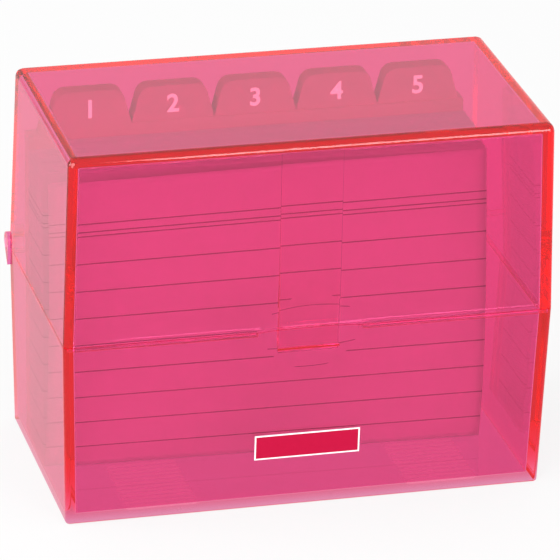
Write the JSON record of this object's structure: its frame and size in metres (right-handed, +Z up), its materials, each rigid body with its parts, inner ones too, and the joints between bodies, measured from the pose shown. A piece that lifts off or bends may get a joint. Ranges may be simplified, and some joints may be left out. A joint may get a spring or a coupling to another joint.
{
  "type": "index card box",
  "caption": "Transparent tinted index card box with a hinged snap lid, holding ruled cards and tabbed dividers against a leaning support plate.",
  "frame": {"origin": "middle of the tray's flat bottom, on the surface that the box stands on", "axes": "+X to the right as seen from the front, +Y from the thumb dish at the front to the hinge at the back, +Z up"},
  "size_m": [0.119, 0.0658, 0.0924],
  "materials": {
    "tinted_plastic": "clear tinted polystyrene, polished",
    "label_film": "printed film, satin",
    "card_paper": "uncoated card with ruled lines",
    "divider_board": "smooth board"
  },
  "bodies": {
    "base": {"base_tray": "tinted_plastic", "front_label": "label_film"},
    "lid": {"lid": "tinted_plastic"},
    "support": {"support_plate": "tinted_plastic"},
    "front_card": {"front_card": "card_paper"},
    "card_group_1": {"card_bundle_01": "card_paper", "card_bundle_02": "card_paper", "card_bundle_03": "card_paper"},
    "card_group_2": {"card_bundle_04": "card_paper", "card_bundle_05": "card_paper", "card_bundle_06": "card_paper"},
    "card_group_3": {"card_bundle_07": "card_paper", "card_bundle_08": "card_paper", "card_bundle_09": "card_paper"},
    "card_group_4": {"card_bundle_10": "card_paper", "card_bundle_11": "card_paper", "card_bundle_12": "card_paper"},
    "card_group_5": {"card_bundle_13": "card_paper", "card_bundle_14": "card_paper", "card_bundle_15": "card_paper"},
    "card_group_6": {"card_bundle_16": "card_paper", "card_bundle_17": "card_paper", "card_bundle_18": "card_paper"},
    "card_group_7": {"card_bundle_19": "card_paper", "card_bundle_20": "card_paper", "card_bundle_21": "card_paper"},
    "card_group_8": {"card_bundle_22": "card_paper", "card_bundle_23": "card_paper", "card_bundle_24": "card_paper"},
    "divider_row_1": {"divider_01": "divider_board", "divider_02": "divider_board", "divider_03": "divider_board", "divider_04": "divider_board", "divider_05": "divider_board"},
    "divider_row_2": {"divider_06": "divider_board", "divider_07": "divider_board", "divider_08": "divider_board", "divider_09": "divider_board", "divider_10": "divider_board"},
    "divider_row_3": {"divider_11": "divider_board", "divider_12": "divider_board", "divider_13": "divider_board", "divider_14": "divider_board", "divider_15": "divider_board"},
    "divider_row_4": {"divider_16": "divider_board", "divider_17": "divider_board", "divider_18": "divider_board", "divider_19": "divider_board", "divider_20": "divider_board"},
    "divider_row_5": {"divider_21": "divider_board", "divider_22": "divider_board", "divider_23": "divider_board", "divider_24": "divider_board", "divider_25": "divider_board"}
  },
  "joints": [
    {"name": "lid_hinge", "type": "hinge", "parent": "base", "child": "lid", "pos_m": [0, 0.03219, 0.04645], "axis": [-1, 0, 0], "range_deg": [0, 115]},
    {"name": "support_slide", "type": "slide", "parent": "base", "child": "support", "axis": [0, 1, 0], "range_m": [-0.01, 0.002]},
    {"name": "card_tilt_1", "type": "hinge", "parent": "support", "child": "card_group_1", "pos_m": [-0.055, -0.0022, 0.0022], "axis": [0.9995, -0.0303, 0], "range_deg": [0, 10]},
    {"name": "card_tilt_2", "type": "hinge", "parent": "support", "child": "card_group_2", "pos_m": [-0.055, -0.00028, 0.0022], "axis": [0.9996, -0.0266, 0], "range_deg": [0, 8.9]},
    {"name": "card_tilt_3", "type": "hinge", "parent": "support", "child": "card_group_3", "pos_m": [-0.055, 0.00165, 0.0022], "axis": [0.9997, -0.0228, 0], "range_deg": [0, 7.8]},
    {"name": "card_tilt_4", "type": "hinge", "parent": "support", "child": "card_group_4", "pos_m": [-0.055, 0.00357, 0.0022], "axis": [0.9998, -0.019, 0], "range_deg": [0, 6.7]},
    {"name": "card_tilt_5", "type": "hinge", "parent": "support", "child": "card_group_5", "pos_m": [-0.055, 0.0055, 0.0022], "axis": [0.9999, -0.0152, 0], "range_deg": [0, 5.6]},
    {"name": "card_tilt_6", "type": "hinge", "parent": "support", "child": "card_group_6", "pos_m": [-0.055, 0.00742, 0.0022], "axis": [0.9999, -0.0114, 0], "range_deg": [0, 4.5]},
    {"name": "card_tilt_7", "type": "hinge", "parent": "support", "child": "card_group_7", "pos_m": [-0.055, 0.00935, 0.0022], "axis": [1, -0.0076, 0], "range_deg": [0, 3.4]},
    {"name": "card_tilt_8", "type": "hinge", "parent": "support", "child": "card_group_8", "pos_m": [-0.055, 0.01127, 0.0022], "axis": [1, -0.0038, 0], "range_deg": [0, 2.3]},
    {"name": "front_card_tilt", "type": "hinge", "parent": "support", "child": "front_card", "pos_m": [-0.05495, -0.00244, 0.0022], "axis": [0.9995, -0.0303, 0], "range_deg": [0, 10.5]},
    {"name": "divider_tilt_1", "type": "hinge", "parent": "support", "child": "divider_row_1", "pos_m": [-0.055, 0.0132, 0.0022], "axis": [1, 0, 0], "range_deg": [0, 1.8]},
    {"name": "divider_tilt_2", "type": "hinge", "parent": "support", "child": "divider_row_2", "pos_m": [-0.055, 0.0142, 0.0022], "axis": [1, 0, 0], "range_deg": [0, 1.4]},
    {"name": "divider_tilt_3", "type": "hinge", "parent": "support", "child": "divider_row_3", "pos_m": [-0.055, 0.0152, 0.0022], "axis": [1, 0, 0], "range_deg": [0, 1]},
    {"name": "divider_tilt_4", "type": "hinge", "parent": "support", "child": "divider_row_4", "pos_m": [-0.055, 0.0162, 0.0022], "axis": [1, 0, 0], "range_deg": [0, 0.7]},
    {"name": "divider_tilt_5", "type": "hinge", "parent": "support", "child": "divider_row_5", "pos_m": [-0.055, 0.0172, 0.0022], "axis": [1, 0, 0], "range_deg": [0, 0.4]}
  ],
  "couplings": [
    {"joint": "front_card_tilt", "follows": "card_tilt_1", "ratio": 1.05},
    {"joint": "card_tilt_2", "follows": "card_tilt_1", "ratio": 0.89},
    {"joint": "card_tilt_3", "follows": "card_tilt_1", "ratio": 0.78},
    {"joint": "card_tilt_4", "follows": "card_tilt_1", "ratio": 0.67},
    {"joint": "card_tilt_5", "follows": "card_tilt_1", "ratio": 0.56},
    {"joint": "card_tilt_6", "follows": "card_tilt_1", "ratio": 0.45},
    {"joint": "card_tilt_7", "follows": "card_tilt_1", "ratio": 0.34},
    {"joint": "card_tilt_8", "follows": "card_tilt_1", "ratio": 0.23},
    {"joint": "divider_tilt_1", "follows": "card_tilt_1", "ratio": 0.18},
    {"joint": "divider_tilt_2", "follows": "card_tilt_1", "ratio": 0.14},
    {"joint": "divider_tilt_3", "follows": "card_tilt_1", "ratio": 0.1},
    {"joint": "divider_tilt_4", "follows": "card_tilt_1", "ratio": 0.07},
    {"joint": "divider_tilt_5", "follows": "card_tilt_1", "ratio": 0.04}
  ]
}
